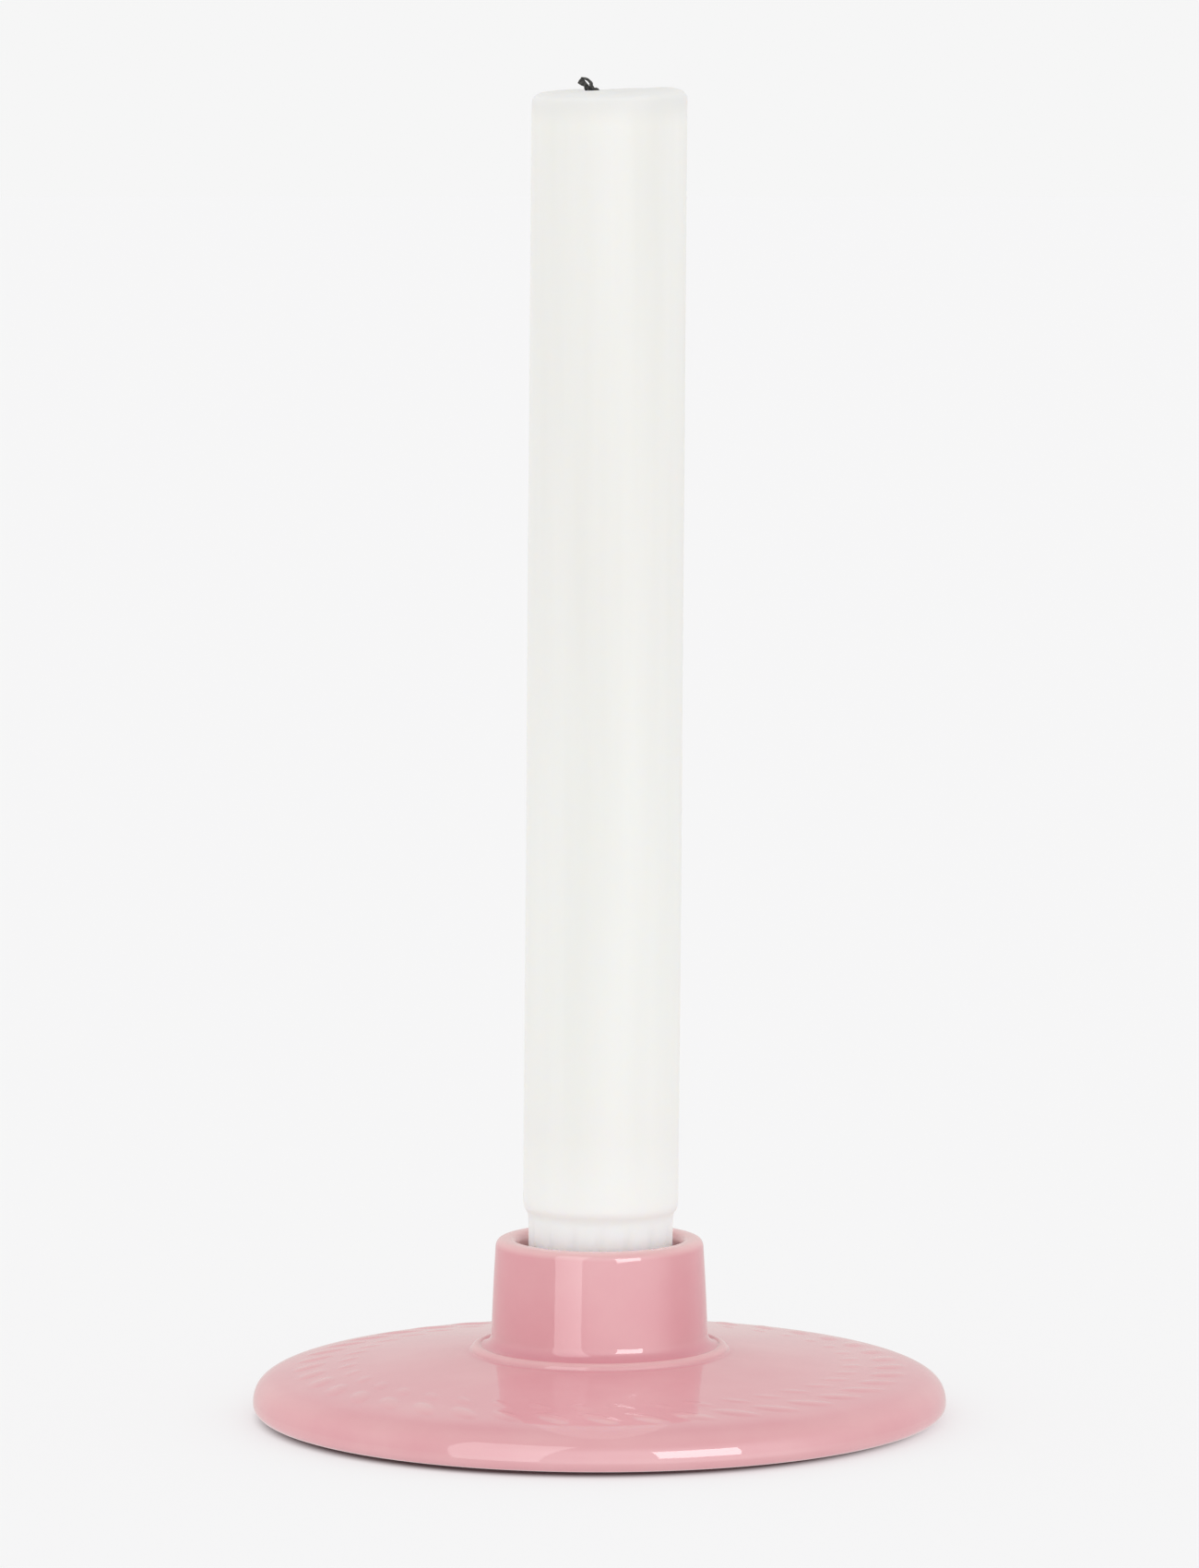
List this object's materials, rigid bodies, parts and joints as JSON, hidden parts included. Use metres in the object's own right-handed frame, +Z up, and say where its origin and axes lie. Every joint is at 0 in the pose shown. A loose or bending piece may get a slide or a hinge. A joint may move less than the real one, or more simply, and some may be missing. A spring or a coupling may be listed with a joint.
{
  "type": "candle in low holder",
  "caption": "Straight white dinner candle with a burnt plaited wick, standing in the socket of a low round glazed stoneware holder with a broad plate and a shallow relief border.",
  "frame": {"origin": "centre of the foot ring's face, on the surface that the holder stands on, under the axis of the socket", "axes": "+Z up along the socket; +X to the side that the candle leans to; +Y away from the front"},
  "size_m": [0.099, 0.099, 0.1907],
  "materials": {
    "pink_glaze": "glossy pink glaze over stoneware, bare on the foot ring",
    "white_wax": "satin white wax, slightly translucent",
    "burnt_wick": "plaited cotton, charred at its free end"
  },
  "bodies": {
    "holder": {"base_plate": "pink_glaze", "socket_collar": "pink_glaze"},
    "candle": {"candle_wax": "white_wax", "wick_strand_1": "burnt_wick", "wick_strand_2": "burnt_wick", "wick_strand_3": "burnt_wick"}
  },
  "joints": [
    {"name": "candle_lift", "type": "slide", "parent": "holder", "child": "candle", "axis": [0.0079, 0, 1], "range_m": [0, 0.032]}
  ]
}
